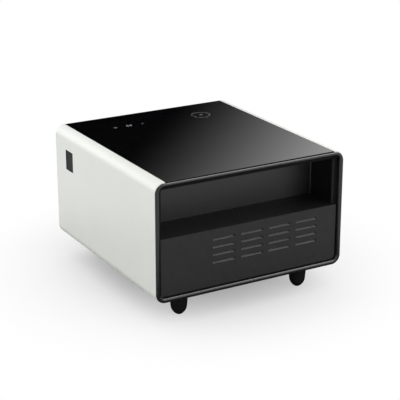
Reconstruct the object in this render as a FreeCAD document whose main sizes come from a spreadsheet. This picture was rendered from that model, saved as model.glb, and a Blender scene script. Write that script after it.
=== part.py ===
import FreeCAD, Part
import math
import os
from collections import namedtuple
from types import SimpleNamespace

import Sketcher

# A low table with a refrigerated drawer. X runs across the table, Y from the open shelf to the
# drawer and Z up. The origin is on the floor, below the middle of the body.

# Driving sizes in millimetres, angles in degrees and counts, kept in the document's spreadsheet.
SIZES = {
    # Outside of the body
    "body_width": 650,
    "body_depth": 684,
    "body_height": 370,
    "foot_height": 78,
    "corner_radius": 30,
    "shoulder_width": 33,
    "panel_wall": 3,
    "rim_wall": 2.5,
    "ledge_width": 14,
    "fit_gap": 0.3,
    # Top
    "glass_thickness": 6,
    "glass_edge_round": 1,
    "deck_thickness": 2,
    "deck_inset": 4,
    # Bezel round the shelf end
    "bezel_width": 14,
    "bezel_reveal": 5,
    "bezel_proud": 8,
    "bezel_top_drop": 3,
    "bead_outer_round": 4.5,
    "bead_inner_round": 6.2,
    "groove_width": 4,
    "groove_depth": 7,
    "seat_width": 6.5,
    "seat_wall": 3,
    # Shelf
    "shelf_floor_height": 196.2,
    "shelf_depth": 128,
    "shelf_wall": 2.5,
    "shelf_side_flange": 7.5,
    "shelf_top_flange": 7.5,
    "shelf_flange_wall": 8,
    "shelf_flange_round": 6,
    "shelf_corner_radius": 4,
    "shelf_mouth_radius": 5,
    "cable_pass_width": 26,
    "cable_pass_depth": 11,
    "cable_pass_setback": 4,
    "cable_pass_radius": 4,
    # Vent panel
    "vent_wall": 3,
    "return_wall": 2.5,
    "louvre_length": 76,
    "louvre_height": 7.5,
    "louvre_column_pitch": 97.5,
    "louvre_row_pitch": 24.2,
    "louvre_columns": 4,
    "louvre_rows": 4,
    "louvre_offset": 51.75,
    "louvre_top_drop": 28.4,
    "louvre_reach": 9,
    "louvre_rise": 5.5,
    "louvre_wall": 1.5,
    "louvre_margin": 9,
    # Base pan
    "pan_thickness": 1.5,
    "pan_wall_height": 14,
    "pan_slot_length": 180,
    "pan_slot_width": 7,
    "pan_slot_pitch": 14,
    "pan_slots": 4,
    "gland_from_side": 70,
    "gland_from_cabinet": 38,
    "gland_bore_radius": 4,
    "gland_body_radius": 7.5,
    "gland_flange_radius": 11,
    "gland_flange_wall": 2.5,
    # Feet
    "foot_from_side": 112,
    "foot_from_end": 71.5,
    "foot_top_radius": 29.5,
    "foot_waist_radius": 25,
    "foot_waist_height": 27,
    "foot_dome_radius": 34.5,
    "foot_tip_radius": 8.5,
    "glide_radius": 7,
    "glide_thickness": 2.5,
    "glide_proud": 1,
    "stud_radius": 4,
    "stud_length": 42,
    "stud_above_pan": 6.5,
    "nut_width": 13,
    "nut_height": 5,
    # Cold cabinet
    "foam_gap": 4,
    "foam_wall": 36,
    "foam_top_gap": 6,
    "service_gap": 31.5,
    "liner_wall": 2,
    "liner_radius": 12,
    "liner_back_radius": 8,
    "liner_flange_inset": 3,
    "evaporator_inset": 80,
    "evaporator_rise": 48,
    "evaporator_drop": 27,
    "evaporator_wall": 2.5,
    "channel_width": 7,
    "channel_height": 2,
    "channel_rows": 5,
    "stub_length": 8,
    "lamp_length": 140,
    "lamp_width": 20,
    "lamp_height": 7,
    "lamp_from_front": 36,
    "lamp_round": 3,
    # Drawer
    "door_gap": 3,
    "front_inset": 1,
    "front_thickness": 30,
    "front_edge_round": 2,
    "pull_length": 240,
    "pull_window": 22,
    "pull_channel_drop": 44,
    "pull_lip": 8,
    "pull_back_wall": 6,
    "pull_lip_round": 2.5,
    "inner_panel_inset": 19,
    "inner_panel_thickness": 12,
    "inner_panel_radius": 18,
    "gasket_thickness": 8,
    "gasket_inset": 2,
    "gasket_width": 12,
    "gasket_base": 3,
    "gasket_bulb_width": 7,
    "gasket_bulb_round": 2,
    "bin_wall": 3,
    "bin_back_gap": 16,
    "bin_floor_gap": 13.5,
    "bin_top_gap": 28,
    "bin_radius": 20,
    "bin_floor_radius": 12,
    "bin_rim_width": 5,
    "bin_rim_wall": 3,
    "rib_width": 6,
    "rib_height": 2,
    "rib_count": 5,
    # Telescopic slides
    "slide_depth": 13,
    "slide_height": 45,
    "slide_rise": 128,
    "slide_sheet": 1.5,
    "slide_play": 0.4,
    "slide_web_gap": 0.9,
    "slide_back_gap": 24,
    "slide_front_gap": 6,
    "slide_middle_short": 5,
    # Cooling machine
    "compressor_from_side": 130,
    "compressor_from_cabinet": 80,
    "can_radius": 62,
    "can_height": 146,
    "can_dome": 34,
    "can_seam_height": 84,
    "can_seam_proud": 4,
    "can_seam_width": 6,
    "plate_length": 180,
    "plate_width": 116,
    "plate_thickness": 2.5,
    "plate_radius": 14,
    "grommet_radius": 10,
    "grommet_height": 11.5,
    "grommet_span_x": 150,
    "grommet_span_y": 90,
    "bolt_radius": 3.7,
    "bolt_head_radius": 7,
    "bolt_head_height": 5,
    "relay_length": 44,
    "relay_height": 42,
    "relay_reach": 22,
    "relay_rise": 26,
    "pipe_stub_radius": 5,
    "pipe_stub_reach": 12,
    "pipe_stub_rise": 110,
    "pipe_stub_spacing": 50,
    "pipe_radius": 4,
    "liquid_pipe_radius": 3,
    "capillary_radius": 2,
    "pipe_bend": 9,
    "capillary_bend": 8,
    "condenser_gap": 5,
    "condenser_from_stub": 35.5,
    "header_radius": 9,
    "header_height": 150,
    "flat_tube_depth": 14,
    "flat_tube_wall": 2.5,
    "flat_tube_pitch": 14,
    "flat_tubes": 9,
    "flat_tube_rise": 26,
    "condenser_outlet_rise": 14,
    "discharge_rise": 26,
    "fan_gap": 6,
    "fan_frame_width": 130,
    "fan_frame_height": 150,
    "fan_frame_depth": 26,
    "fan_centre_rise": 80,
    "fan_hole_radius": 56,
    "fan_tip_gap": 2,
    "fan_hub_radius": 20,
    "fan_hub_length": 18,
    "fan_hub_inset": 2,
    "fan_blades": 7,
    "fan_blade_chord": 24,
    "fan_blade_wall": 1.8,
    "fan_root_pitch": 42,
    "fan_tip_pitch": 28,
    "fan_shaft_radius": 3,
    "fan_shaft_gap": 0.05,
    "fan_boss_radius": 19,
    "fan_spoke_width": 8,
    "fan_spoke_wall": 4,
    "drier_from_cabinet": 43,
    "drier_from_condenser": 45.5,
    "drier_radius": 9,
    "drier_length": 70,
    "drier_neck": 10,
    "drier_rise": 46,
    "capillary_rise": 36,
    # Electronics
    "touch_from_side": 97,
    "touch_from_end": 97,
    "touch_length": 140,
    "touch_width": 45,
    "touch_thickness": 4,
    "coil_from_side": 148,
    "coil_from_end": 128,
    "coil_radius": 33,
    "coil_bore_radius": 10,
    "coil_thickness": 2,
    "coil_tray_radius": 36,
    "coil_tray_wall": 1,
    "window_gap": 2,
    "control_x": 60,
    "control_rise": 12,
    "control_length": 160,
    "control_drop": 18.5,
    "control_depth": 24,
    "control_wall": 2,
    "control_lid_wall": 2,
    "board_wall": 1.6,
    "board_gap": 3,
    "board_post_radius": 4,
    "board_post_height": 6,
    "board_post_inset": 10,
    "outlet_from_end": 74.5,
    "outlet_length": 51.5,
    "outlet_height": 65.5,
    "outlet_drop": 61.5,
    "outlet_depth": 22,
    "outlet_recess": 1.2,
    "outlet_rim": 2,
    "outlet_flange": 4,
    "outlet_flange_wall": 2.5,
    "cap_length": 20,
    "cap_height": 14,
    "cap_radius": 2.5,
    "cap_pitch": 26,
    "cap_groove_width": 0.8,
    "cap_groove_depth": 1.2,
}

Vector = FreeCAD.Vector
Disc = namedtuple("Disc", "x y radius")

# Distance under which two places count as the same when edges are picked
SAME_PLACE = 1e-4


class Size:
    """A length that carries its number and the spreadsheet formula behind it."""

    def __init__(self, number, formula):
        self.number = number
        self.formula = formula

    def __add__(self, other):
        other = as_size(other)
        return Size(self.number + other.number, f"({self.formula} + {other.formula})")

    def __sub__(self, other):
        other = as_size(other)
        return Size(self.number - other.number, f"({self.formula} - {other.formula})")

    def __mul__(self, other):
        other = as_size(other)
        return Size(self.number * other.number, f"({self.formula} * {other.formula})")

    def __truediv__(self, other):
        other = as_size(other)
        return Size(self.number / other.number, f"({self.formula} / {other.formula})")

    def __neg__(self):
        return Size(-self.number, f"(0 - {self.formula})")


def as_size(value):
    """A size as it is, or a plain number as a size."""
    if isinstance(value, Size):
        return value
    return Size(value, f"({value})")


doc = FreeCAD.newDocument("DrawerFridgeTable")
sheet = doc.addObject("Spreadsheet::Sheet", "Sizes")
for row, (alias, value) in enumerate(SIZES.items(), start=1):
    sheet.set(f"A{row}", alias)
    sheet.set(f"B{row}", str(value))
    sheet.setAlias(f"B{row}", alias)
doc.recompute()
dim = SimpleNamespace(**{alias: Size(value, f"Sizes.{alias}") for alias, value in SIZES.items()})

# Levels and planes shared by several pieces
centre = as_size(0)
half_width = dim.body_width / 2
shelf_end = -dim.body_depth / 2
drawer_end = dim.body_depth / 2
underside = dim.foot_height
top = dim.foot_height + dim.body_height
panel_inside = half_width - dim.panel_wall
panel_start = shelf_end + dim.bezel_reveal
glass_edge = half_width - dim.shoulder_width
glass_half = glass_edge - dim.fit_gap
glass_underside = top - dim.glass_thickness
ledge_top = glass_underside - dim.deck_thickness
ledge_bottom = ledge_top - dim.panel_wall
ledge_edge = glass_edge - dim.ledge_width
pan_bottom = underside + dim.panel_wall
pan_top = pan_bottom + dim.pan_thickness

# Shelf end, from the bezel inward
face_plane = shelf_end + dim.bezel_proud
seat_plane = face_plane + dim.groove_depth
bezel_back = seat_plane + dim.seat_wall
bezel_inner_half = half_width - dim.bezel_width
bezel_inner_bottom = underside + dim.bezel_width
bezel_inner_top = top - dim.bezel_width
bezel_inner_radius = dim.corner_radius - dim.bezel_width
face_half = bezel_inner_half - dim.groove_width
face_bottom = bezel_inner_bottom + dim.groove_width
face_top = bezel_inner_top - dim.groove_width
face_radius = bezel_inner_radius - dim.groove_width
shelf_floor = underside + dim.shelf_floor_height
shelf_half = face_half - dim.shelf_side_flange
shelf_ceiling = face_top - dim.shelf_top_flange
shelf_back = face_plane + dim.shelf_depth
flange_back = bezel_back + dim.shelf_flange_wall
vent_back = face_plane + dim.vent_wall
louvre_back = vent_back + dim.louvre_reach

# Cold cabinet, from the drawer's front inward
front_face = drawer_end - dim.front_inset
front_back = front_face - dim.front_thickness
inner_panel_back = front_back - dim.inner_panel_thickness
cabinet_front = inner_panel_back - dim.gasket_thickness
cabinet_back = shelf_back + dim.shelf_wall + dim.service_gap
foam_half = panel_inside - dim.foam_gap
foam_top = ledge_top - dim.foam_top_gap
foam_front = cabinet_front - dim.liner_wall
cavity_half = foam_half - dim.foam_wall
cavity_bottom = pan_top + dim.foam_wall
cavity_top = foam_top - dim.foam_wall
cavity_back = cabinet_back + dim.foam_wall
inside_half = cavity_half - dim.fit_gap - dim.liner_wall
inside_bottom = cavity_bottom + dim.fit_gap + dim.liner_wall
inside_top = cavity_top - dim.fit_gap - dim.liner_wall
inside_back = cavity_back + dim.liner_wall
foam_radius = dim.corner_radius - dim.panel_wall - dim.foam_gap

# Drawer
front_half = panel_inside - dim.door_gap
front_bottom = underside + dim.panel_wall + dim.door_gap
front_top = ledge_bottom - dim.door_gap
front_radius = dim.corner_radius - dim.panel_wall - dim.door_gap
inner_panel_half = front_half - dim.inner_panel_inset
inner_panel_bottom = front_bottom + dim.inner_panel_inset
inner_panel_top = front_top - dim.inner_panel_inset
bin_half = inside_half - dim.slide_depth
bin_bottom = inside_bottom + dim.bin_floor_gap
bin_top = inside_top - dim.bin_top_gap
bin_back = inside_back + dim.bin_back_gap
slide_middle_z = inside_bottom + dim.slide_rise

# Machine bay
louvre_middle = dim.louvre_offset
compressor_x = dim.compressor_from_side - half_width
compressor_y = cabinet_back - dim.compressor_from_cabinet
plate_bottom = pan_top + dim.grommet_height
can_base = plate_bottom + dim.plate_thickness
stub_end_x = compressor_x + dim.can_radius + dim.pipe_stub_reach
stub_z = can_base + dim.pipe_stub_rise
discharge_y = compressor_y - dim.pipe_stub_spacing / 2
suction_y = compressor_y + dim.pipe_stub_spacing / 2
condenser_y = louvre_back + dim.condenser_gap + dim.header_radius
header_top = pan_top + dim.header_height
left_header_x = stub_end_x + dim.condenser_from_stub
right_header_x = louvre_middle * 2 - left_header_x
outlet_stub_end = condenser_y + dim.header_radius + dim.stub_length
outlet_stub_z = pan_top + dim.condenser_outlet_rise
fan_front = condenser_y + dim.header_radius + dim.fan_gap
fan_back = fan_front + dim.fan_frame_depth
fan_z = pan_top + dim.fan_centre_rise
drier_x = left_header_x + dim.drier_from_condenser
drier_y = cabinet_back - dim.drier_from_cabinet
drier_bottom = pan_top + dim.drier_rise
drier_top = drier_bottom + dim.drier_length + dim.drier_neck * 2
capillary_z = drier_top + dim.capillary_rise
suction_x = (left_header_x + stub_end_x) / 2 + dim.header_radius * 2
evaporator_stub_end = cabinet_back - dim.stub_length

nodes = []


def direction(start, end):
    """Unit direction from one corner to the next, in plain numbers."""
    run = end[0].number - start[0].number
    rise = end[1].number - start[1].number
    length = math.hypot(run, rise)
    return round(run / length, 9), round(rise / length, 9)


def along(value, distance, share):
    """A coordinate moved by a distance times the direction's share along its axis."""
    if share == 0:
        return value
    return value + distance * share


def rounded(corners):
    """Vertices of a closed outline; a corner is (x, y), or (x, y, radius) between square edges."""
    corners = [[as_size(value) for value in corner] for corner in corners]
    vertices = []
    for index, corner in enumerate(corners):
        if len(corner) == 2:
            vertices.append((corner[0], corner[1], None))
            continue
        x, y, radius = corner
        in_x, in_y = direction(corners[index - 1], corner)
        out_x, out_y = direction(corner, corners[(index + 1) % len(corners)])
        bend = radius if in_x * out_y > in_y * out_x else -radius
        vertices.append((along(x, radius, -in_x), along(y, radius, -in_y), bend))
        vertices.append((along(x, radius, out_x), along(y, radius, out_y), None))
    return vertices


def rectangle(left, low, right, high, radius=None):
    """Outline of a rectangle, with rounded corners where a radius is given."""
    corners = [(left, low), (right, low), (right, high), (left, high)]
    if radius is None:
        return rounded(corners)
    return rounded([corner + (radius,) for corner in corners])


def arc(start, end, bend):
    """Arc between two points; a positive bend has its centre on the left of the way there."""
    chord = end - start
    left = Vector(-chord.y, chord.x, 0).normalize()
    reach = math.sqrt(max(bend * bend - chord.Length ** 2 / 4, 0))
    middle = (start + end) * 0.5 + left * math.copysign(reach, bend)
    first, last = (start, end) if bend > 0 else (end, start)
    angles = [math.atan2(point.y - middle.y, point.x - middle.x) for point in (first, last)]
    return Part.ArcOfCircle(Part.Circle(middle, Vector(0, 0, 1), abs(bend)), *angles)


def bind(sketch, kind, size, *places):
    """A sketch dimension driven by the sheet."""
    index = sketch.addConstraint(Sketcher.Constraint(kind, *places, size.number))
    sketch.setExpression(f"Constraints[{index}]", size.formula)


def pin(sketch, edge, point, x, y):
    """Hold a point of the sketch at a place given by two sizes."""
    bind(sketch, "DistanceX", x, -1, 1, edge, point)
    bind(sketch, "DistanceY", y, -1, 1, edge, point)


def draw(sketch, vertices):
    """Closed outline of lines and arcs with every vertex and radius bound."""
    edges = []
    for index, (x, y, bend) in enumerate(vertices):
        after = vertices[(index + 1) % len(vertices)]
        start = Vector(x.number, y.number, 0)
        end = Vector(after[0].number, after[1].number, 0)
        curve = Part.LineSegment(start, end) if bend is None else arc(start, end, bend.number)
        edges.append(sketch.addGeometry(curve, False))
    backward = [bend is not None and bend.number < 0 for x, y, bend in vertices]
    for index, (x, y, bend) in enumerate(vertices):
        first = 2 if backward[index] else 1
        last = 1 if backward[index - 1] else 2
        sketch.addConstraint(Sketcher.Constraint("Coincident", edges[index - 1], last, edges[index], first))
        pin(sketch, edges[index], first, x, y)
        if bend is not None:
            bind(sketch, "Radius", bend if bend.number > 0 else -bend, edges[index])


def draw_disc(sketch, disc):
    """A circle with its middle and radius bound."""
    x, y, radius = [as_size(value) for value in disc]
    circle = Part.Circle(Vector(x.number, y.number, 0), Vector(0, 0, 1), radius.number)
    edge = sketch.addGeometry(circle, False)
    pin(sketch, edge, 3, x, y)
    bind(sketch, "Radius", radius, edge)


def origin_feature(body, role):
    """A plane or an axis of the body's own origin."""
    return next(item for item in body.Origin.OriginFeatures if item.Role == role)


def new_sketch(body, role, level, outlines):
    """A sketch of outlines on one of the body's planes, at a level along the axis it faces."""
    sketch = body.newObject("Sketcher::SketchObject", f"{body.Name}_sketch")
    sketch.AttachmentSupport = [(origin_feature(body, role), "")]
    sketch.MapMode = "FlatFace"
    lift = -level if role == "XZ_Plane" else level
    sketch.setExpression("AttachmentOffset.Base.z", lift.formula)
    for item in outlines:
        if isinstance(item, Disc):
            draw_disc(sketch, item)
        else:
            draw(sketch, item)
    return sketch


def new_body(label, x=centre, y=centre, z=centre):
    """A sub-part of its own, placed by the sheet."""
    body = doc.addObject("PartDesign::Body", label)
    place(body, x, y, z)
    nodes.append(body)
    return body


def place(item, x, y, z):
    """Bind an object's place to the sheet."""
    for axis, value in zip("xyz", (x, y, z)):
        item.setExpression(f"Placement.Base.{axis}", as_size(value).formula)


def add_feature(body, kind, **settings):
    """A feature at the tip of a body; sizes among its settings are bound to the sheet."""
    feature = body.newObject(f"PartDesign::{kind}", f"{body.Name}_{kind}")
    for name, value in settings.items():
        if isinstance(value, Size):
            feature.setExpression(name, value.formula)
        else:
            setattr(feature, name, value)
    body.Tip = feature
    return feature


def add_prism(body, role, low, high, *outlines):
    """Pad outlines from one level to another along the axis that the plane faces."""
    sketch = new_sketch(body, role, high if role == "XZ_Plane" else low, outlines)
    return add_feature(body, "Pad", Profile=sketch, Length=high - low)


def cut_prism(body, role, low, high, *outlines):
    """Pocket outlines from one level to another along the axis that the plane faces."""
    sketch = new_sketch(body, role, low if role == "XZ_Plane" else high, outlines)
    return add_feature(body, "Pocket", Profile=sketch, Length=high - low)


def revolve(body, vertices):
    """Turn an outline about the body's upright axis."""
    sketch = new_sketch(body, "XZ_Plane", centre, [vertices])
    return add_feature(body, "Revolution", Profile=sketch, ReferenceAxis=(sketch, ["V_Axis"]), Angle=360)


def round_edges(body, radius, wanted):
    """Fillet the edges of the body so far that a test accepts."""
    doc.recompute()
    base = body.Tip
    names = [f"Edge{n}" for n, edge in enumerate(base.Shape.Edges, start=1) if wanted(edge.BoundBox)]
    return add_feature(body, "Fillet", Base=(base, names), Radius=radius)


def hollow(body, wall, face_rank):
    """Shell the body inward, open at the flat face that ranks highest."""
    doc.recompute()
    base = body.Tip
    faces = base.Shape.Faces
    best = max(range(len(faces)), key=lambda index: face_rank(faces[index].CenterOfMass))
    return add_feature(body, "Thickness", Base=(base, [f"Face{best + 1}"]), Value=wall, Reversed=True)


def flat_at(low, high, level):
    """True where an extent lies within one level."""
    return abs(low - level.number) < SAME_PLACE and abs(high - level.number) < SAME_PLACE


def spans(low, high, length):
    """True where an extent has a given length."""
    return abs(high - low - length.number) < SAME_PLACE


def cylinder(name, radius, height, x, y, z):
    """An upright cylinder."""
    item = doc.addObject("Part::Cylinder", name)
    item.setExpression("Radius", radius.formula)
    item.setExpression("Height", height.formula)
    place(item, x, y, z)
    return item


def joined(name, items):
    """Several solids made into one."""
    item = doc.addObject("Part::MultiFuse", name)
    item.Shapes = items
    item.Refine = True
    return item


def drilled(name, base, tool):
    """One solid with another taken out of it."""
    item = doc.addObject("Part::Cut", name)
    item.Base = base
    item.Tool = tool
    return item


def group(label, items):
    """A sub-part of several equal, separate solids."""
    item = doc.addObject("Part::Compound", label)
    item.Links = items
    nodes.append(item)
    return item


def side_panel(label, side):
    """White side with rounded shoulders, a ledge for the deck and a flange under the pan."""
    body = new_body(label)
    inner_radius = dim.corner_radius - dim.panel_wall
    profile = [
        (glass_edge, top),
        (half_width, top, dim.corner_radius),
        (half_width, underside, dim.corner_radius),
        (ledge_edge, underside),
        (ledge_edge, pan_bottom),
        (panel_inside, pan_bottom, inner_radius),
        (panel_inside, top - dim.panel_wall, inner_radius),
        (glass_edge + dim.rim_wall, top - dim.panel_wall),
        (glass_edge + dim.rim_wall, ledge_bottom),
        (ledge_edge, ledge_bottom),
        (ledge_edge, ledge_top),
        (glass_edge, ledge_top),
    ]
    mirrored = [(corner[0] * side,) + corner[1:] for corner in profile]
    add_prism(body, "XZ_Plane", panel_start, drawer_end, rounded(mirrored))
    return body


# Outlet in the left side panel: its outline along Y and Z
outlet_low_y = drawer_end - dim.outlet_from_end - dim.outlet_length
outlet_high_y = drawer_end - dim.outlet_from_end
outlet_high_z = top - dim.outlet_drop
outlet_low_z = outlet_high_z - dim.outlet_height
outlet_back = dim.outlet_depth - half_width


def outlet_outline(grow):
    """Outlet outline, larger or smaller by a margin on each side."""
    return rectangle(outlet_low_y - grow, outlet_low_z - grow, outlet_high_y + grow, outlet_high_z + grow)


def side_panels():
    """Both sides; the left one has the outlet's cut-out."""
    left = side_panel("left_side_panel", -1)
    cut_prism(left, "YZ_Plane", -half_width, -panel_inside, outlet_outline(dim.fit_gap))
    side_panel("right_side_panel", 1)


def outlet():
    """Outlet frame held by a flange behind the panel, and its insert with two capped ports."""
    frame = new_body("outlet_frame")
    add_prism(frame, "YZ_Plane", -half_width, outlet_back, outlet_outline(centre))
    add_prism(frame, "YZ_Plane", -panel_inside, dim.outlet_flange_wall - panel_inside,
              outlet_outline(dim.outlet_flange))
    cut_prism(frame, "YZ_Plane", -half_width, outlet_back - dim.outlet_rim, outlet_outline(-dim.outlet_rim))
    insert = new_body("outlet_socket")
    face = dim.outlet_recess - half_width
    middle_y = (outlet_low_y + outlet_high_y) / 2
    outlet_middle_z = (outlet_low_z + outlet_high_z) / 2
    add_prism(insert, "YZ_Plane", face, outlet_back - dim.outlet_rim,
              outlet_outline(-dim.outlet_rim - dim.fit_gap))
    caps = []
    for middle_z in (outlet_middle_z - dim.cap_pitch / 2, outlet_middle_z + dim.cap_pitch / 2):
        for grow in (centre, dim.cap_groove_width):
            half_length = dim.cap_length / 2 + grow
            half_height = dim.cap_height / 2 + grow
            caps.append(rectangle(middle_y - half_length, middle_z - half_height,
                                  middle_y + half_length, middle_z + half_height, dim.cap_radius + grow))
    cut_prism(insert, "YZ_Plane", face, face + dim.cap_groove_depth, *caps)


# Parts under the glass: middle of the coil, corners of the touch board
coil_x = glass_edge - dim.coil_from_side
coil_y = drawer_end - dim.coil_from_end
touch_left = dim.touch_from_side - glass_edge
touch_high_y = drawer_end - dim.touch_from_end


def touch_outline(grow):
    """Touch board outline, larger by a margin on each side."""
    return rectangle(touch_left - grow, touch_high_y - dim.touch_width - grow,
                     touch_left + dim.touch_length + grow, touch_high_y + grow)


def glass_top():
    """Flush glass, its deck with windows, and the touch board and charging coil bonded under it."""
    glass = new_body("top_glass")
    add_prism(glass, "XY_Plane", glass_underside, top,
              rectangle(-glass_half, panel_start + dim.fit_gap, glass_half, drawer_end))
    round_edges(glass, dim.glass_edge_round, lambda box: flat_at(box.ZMin, box.ZMax, top))
    deck = new_body("top_deck")
    add_prism(deck, "XY_Plane", ledge_top, glass_underside,
              rectangle(-glass_half, panel_start + dim.fit_gap, glass_half, drawer_end - dim.deck_inset))
    cut_prism(deck, "XY_Plane", ledge_top, glass_underside, touch_outline(dim.window_gap),
              Disc(coil_x, coil_y, dim.coil_tray_radius + dim.window_gap))
    board = new_body("touch_board")
    add_prism(board, "XY_Plane", glass_underside - dim.touch_thickness, glass_underside,
              touch_outline(centre))
    coil = new_body("charging_coil", coil_x, coil_y, glass_underside)
    coil_low = -dim.coil_thickness
    tray_low = coil_low - dim.coil_tray_wall
    revolve(coil, rounded([(centre, tray_low), (dim.coil_tray_radius, tray_low),
                           (dim.coil_tray_radius, coil_low), (dim.coil_radius, coil_low),
                           (dim.coil_radius, centre), (dim.coil_bore_radius, centre),
                           (dim.coil_bore_radius, coil_low), (centre, coil_low)]))


def bezel_ring(body, low, high, outer, inner_margin):
    """Pad a ring between an outer outline and the bezel's mouth drawn in by a margin."""
    half = bezel_inner_half - inner_margin
    inner = rectangle(-half, bezel_inner_bottom + inner_margin, half, bezel_inner_top - inner_margin,
                      bezel_inner_radius - inner_margin)
    add_prism(body, "XZ_Plane", low, high, outer, inner)


def end_bezel():
    """Bead round the shelf end, with a spigot inside the panels and a seat for the face pieces."""
    body = new_body("end_bezel")
    shell = rectangle(-half_width, underside, half_width, top - dim.bezel_top_drop, dim.corner_radius)
    spigot_half = panel_inside - dim.fit_gap
    spigot = rectangle(-spigot_half, pan_top + dim.fit_gap, spigot_half, ledge_bottom - dim.fit_gap,
                       dim.corner_radius - dim.panel_wall)
    bezel_ring(body, shelf_end, panel_start, shell, centre)
    bezel_ring(body, panel_start, seat_plane, spigot, centre)
    bezel_ring(body, seat_plane, bezel_back, spigot, dim.seat_width)

    def at_front(box):
        return flat_at(box.YMin, box.YMax, shelf_end)

    def in_mouth(box):
        low = bezel_inner_bottom.number - SAME_PLACE
        high = bezel_inner_top.number + SAME_PLACE
        reach = bezel_inner_half.number + SAME_PLACE
        return low < box.ZMin and box.ZMax < high and max(-box.XMin, box.XMax) < reach

    round_edges(body, dim.bead_outer_round, lambda box: at_front(box) and not in_mouth(box))
    round_edges(body, dim.bead_inner_round, lambda box: at_front(box) and in_mouth(box))


def shelf_liner():
    """Open box with rounded back corners, a cable pass in its floor and a lip up to the vent panel."""
    body = new_body("shelf_liner")
    outer_half = shelf_half + dim.shelf_wall
    outer_back = shelf_back + dim.shelf_wall
    outer_low = shelf_floor - dim.shelf_wall
    outer_high = shelf_ceiling + dim.shelf_wall
    add_prism(body, "XZ_Plane", flange_back, outer_back,
              rectangle(-outer_half, outer_low, outer_half, outer_high))
    height = outer_high - outer_low
    round_edges(body, dim.shelf_corner_radius + dim.shelf_wall,
                lambda box: flat_at(box.YMin, box.YMax, outer_back) and spans(box.ZMin, box.ZMax, height))
    hollow(body, dim.shelf_wall, lambda middle: -middle.y)
    pass_back = shelf_back - dim.cable_pass_setback
    cut_prism(body, "XY_Plane", outer_low, shelf_floor,
              rectangle(-dim.cable_pass_width / 2, pass_back - dim.cable_pass_depth,
                        dim.cable_pass_width / 2, pass_back, dim.cable_pass_radius))
    lip_half = bezel_inner_half - dim.seat_width - dim.fit_gap
    add_prism(body, "XY_Plane", outer_low, shelf_floor,
              rectangle(-lip_half, vent_back, lip_half, flange_back))


def shelf_trim():
    """Trim behind the bezel's seat, rounded towards the shelf's mouth on both sides and over the top."""
    body = new_body("shelf_trim")
    foot = shelf_floor + dim.fit_gap
    add_prism(body, "XZ_Plane", bezel_back, flange_back, rounded([
        (-face_half, foot), (-shelf_half, foot), (-shelf_half, shelf_ceiling, dim.shelf_mouth_radius),
        (shelf_half, shelf_ceiling, dim.shelf_mouth_radius), (shelf_half, foot), (face_half, foot),
        (face_half, face_top, face_radius), (-face_half, face_top, face_radius)]))

    def round_mouth(box):
        reach = shelf_half.number + SAME_PLACE
        return (flat_at(box.YMin, box.YMax, bezel_back) and max(-box.XMin, box.XMax) < reach
                and foot.number + SAME_PLACE < box.ZMax < shelf_ceiling.number + SAME_PLACE)

    round_edges(body, dim.shelf_flange_round, round_mouth)


# Louvres: first column, and the lower edge of each row
louvre_span = dim.louvre_column_pitch * (dim.louvre_columns - 1)
louvre_left = dim.louvre_offset - (louvre_span + dim.louvre_length) / 2
louvre_right = louvre_left + dim.louvre_length
louvre_rows = [shelf_floor - dim.louvre_top_drop - dim.louvre_height - dim.louvre_row_pitch * row
               for row in range(SIZES["louvre_rows"])]


def louvre_windows(grow):
    """Openings of the first column, longer by a margin at both ends."""
    return [rectangle(louvre_left - grow, low, louvre_right + grow, low + dim.louvre_height)
            for low in louvre_rows]


def repeat_column(body, *column):
    """Repeat the first column's features across the panel."""
    doc.recompute()
    add_feature(body, "LinearPattern", Originals=list(column), Direction=(origin_feature(body, "X_Axis"), [""]),
                Length=louvre_span, Occurrences=dim.louvre_columns)


def vent_panel():
    """Slotted panel under the shelf with a wall behind its lower edges."""
    body = new_body("vent_panel")
    add_prism(body, "XZ_Plane", face_plane, vent_back, rounded([
        (-face_half, shelf_floor), (-face_half, face_bottom, face_radius),
        (face_half, face_bottom, face_radius), (face_half, shelf_floor)]))
    inner_half = face_half - dim.return_wall
    inner_bottom = face_bottom + dim.return_wall
    inner_radius = face_radius - dim.return_wall
    add_prism(body, "XZ_Plane", vent_back, seat_plane, rounded([
        (-face_half, shelf_floor), (-face_half, face_bottom, face_radius),
        (face_half, face_bottom, face_radius), (face_half, shelf_floor), (inner_half, shelf_floor),
        (inner_half, inner_bottom, inner_radius), (-inner_half, inner_bottom, inner_radius),
        (-inner_half, shelf_floor)]))
    repeat_column(body, cut_prism(body, "XZ_Plane", face_plane, vent_back, *louvre_windows(centre)))


def vent_louvres():
    """Insert behind the vent panel; each blade slopes back and up from its slot's lower edge."""
    body = new_body("vent_louvres")
    wall = dim.louvre_wall
    margin = dim.louvre_margin
    plate_back = vent_back + wall
    add_prism(body, "XZ_Plane", vent_back, plate_back, rectangle(
        louvre_left - margin, louvre_rows[-1] - margin,
        louvre_right + louvre_span + margin, louvre_rows[0] + dim.louvre_height + margin, margin / 2))
    blades = []
    for slot_low in louvre_rows:
        low = slot_low + dim.fit_gap
        high = low + dim.louvre_rise
        blades.append(rounded([(face_plane + wall / 2, low), (vent_back, low), (vent_back, low - wall),
                               (louvre_back, high - wall), (louvre_back - wall / 2, high)]))
    repeat_column(body,
                  cut_prism(body, "XZ_Plane", vent_back, plate_back, *louvre_windows(margin / 2)),
                  add_prism(body, "YZ_Plane", louvre_left + dim.fit_gap, louvre_right - dim.fit_gap, *blades))


foot_x = half_width - dim.foot_from_side
foot_y = drawer_end - dim.foot_from_end
FOOT_SIDES = [("shelf_left", -1, -1), ("shelf_right", 1, -1), ("drawer_left", -1, 1), ("drawer_right", 1, 1)]
stud_hole_radius = dim.stud_radius + dim.fit_gap
gland_x = half_width - dim.gland_from_side
gland_y = cabinet_back - dim.gland_from_cabinet


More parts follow.
